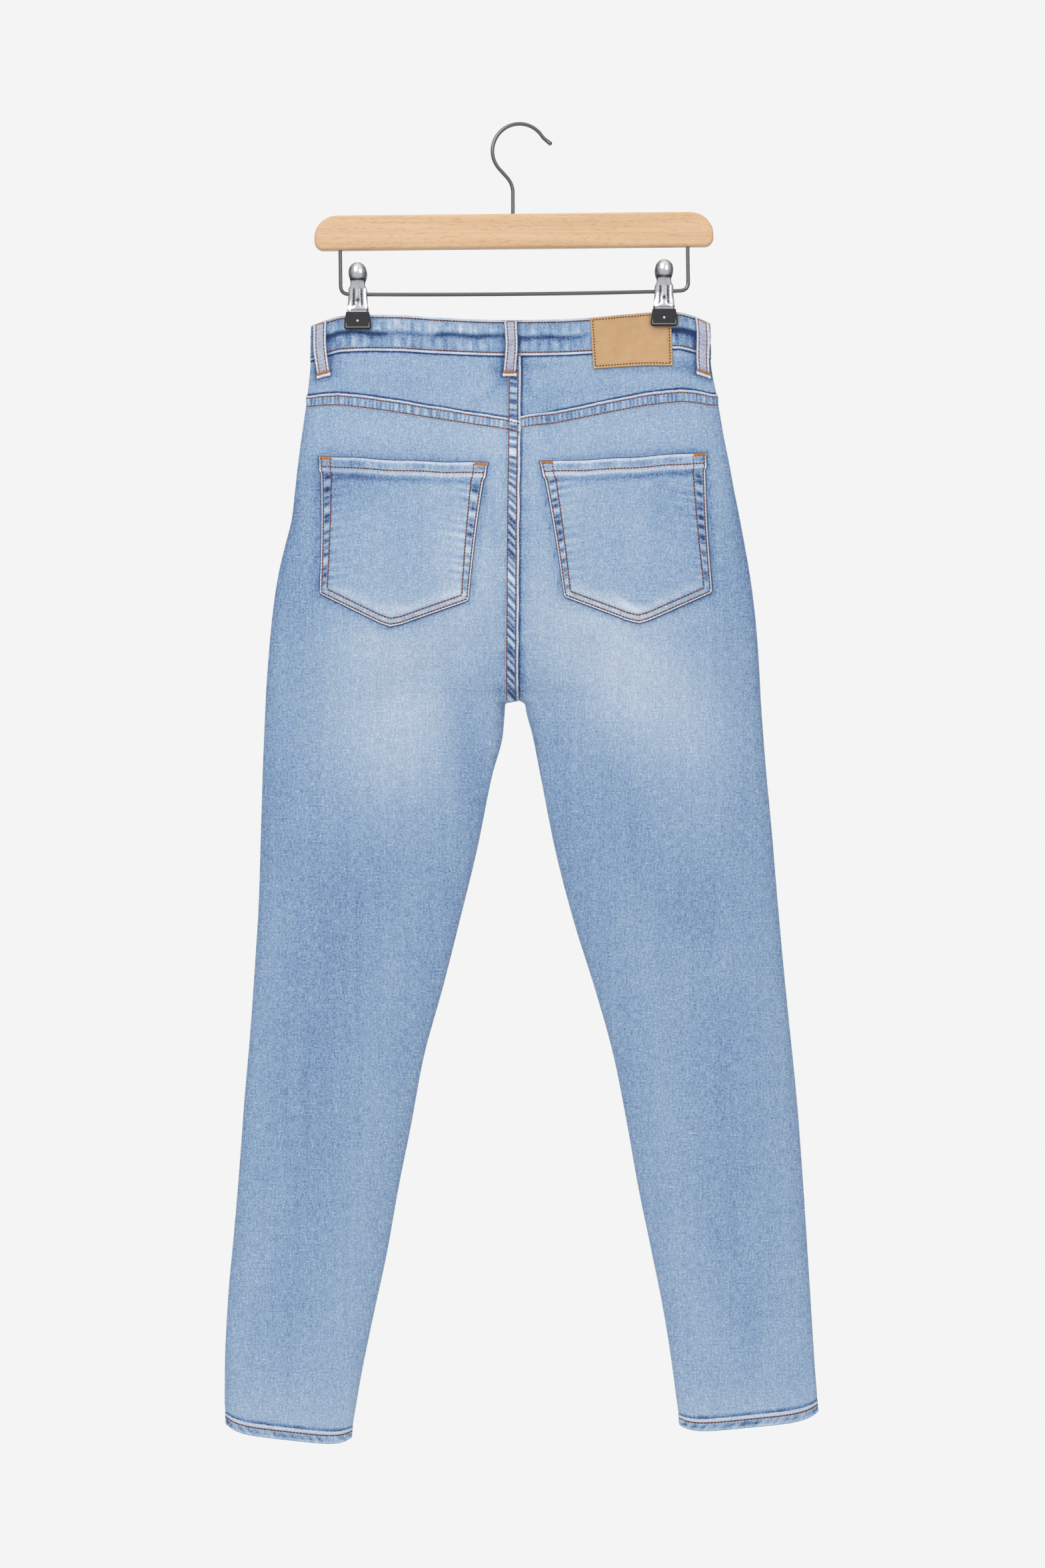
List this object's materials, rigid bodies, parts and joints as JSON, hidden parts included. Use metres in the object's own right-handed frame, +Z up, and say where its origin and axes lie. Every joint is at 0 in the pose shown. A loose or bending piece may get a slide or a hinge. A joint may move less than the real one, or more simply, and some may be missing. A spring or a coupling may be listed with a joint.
{
  "type": "skinny jeans on a clip hanger",
  "caption": "High-rise skinny five-pocket jeans in faded stretch denim, hung by the waistband, back outwards, from a wooden bar hanger with spring clips.",
  "frame": {"origin": "inside of the top of the hanger's hook, where the rail or nail bears on the wire", "axes": "+Z up, the back of the jeans faces -Y, +X is the wearer's right"},
  "size_m": [0.5342, 0.0435, 1.188],
  "materials": {
    "denim": "faded mid to light blue stretch denim, rust topstitching",
    "loop_denim": "paler washed denim, rust topstitching, orange bar tacks",
    "patch_leather": "bare tan leather, stitched round its edge",
    "beech": "clear satin beech",
    "chrome": "polished plated steel",
    "clip_rubber": "black non-slip rubber",
    "button_metal": "plain antique copper"
  },
  "bodies": {
    "root": {"back_panel_left": "denim", "back_panel_left_knee": "denim", "back_panel_left_calf": "denim", "back_panel_right": "denim", "back_panel_right_knee": "denim", "back_panel_right_calf": "denim", "front_panel_left": "denim", "front_panel_left_knee": "denim", "front_panel_left_calf": "denim", "front_panel_right": "denim", "front_panel_right_knee": "denim", "front_panel_right_calf": "denim", "yoke_left": "denim", "yoke_right": "denim", "waistband": "denim", "back_pocket_left": "denim", "back_pocket_right": "denim", "pocket_facing_left": "denim", "pocket_facing_right": "denim", "fly": "denim", "belt_loop_back_left": "loop_denim", "belt_loop_back_centre": "loop_denim", "belt_loop_back_right": "loop_denim", "belt_loop_front_left": "loop_denim", "belt_loop_front_right": "loop_denim", "leather_patch": "patch_leather", "waist_button": "button_metal", "hanger_bar": "beech", "hanger_hook": "chrome", "clip_rail": "chrome", "clip_left_spring": "chrome", "clip_left_arm_back": "chrome", "clip_left_pad_back": "clip_rubber", "clip_left_arm_front": "chrome", "clip_left_pad_front": "clip_rubber", "clip_right_spring": "chrome", "clip_right_arm_back": "chrome", "clip_right_pad_back": "clip_rubber", "clip_right_arm_front": "chrome", "clip_right_pad_front": "clip_rubber"}
  },
  "joints": []
}
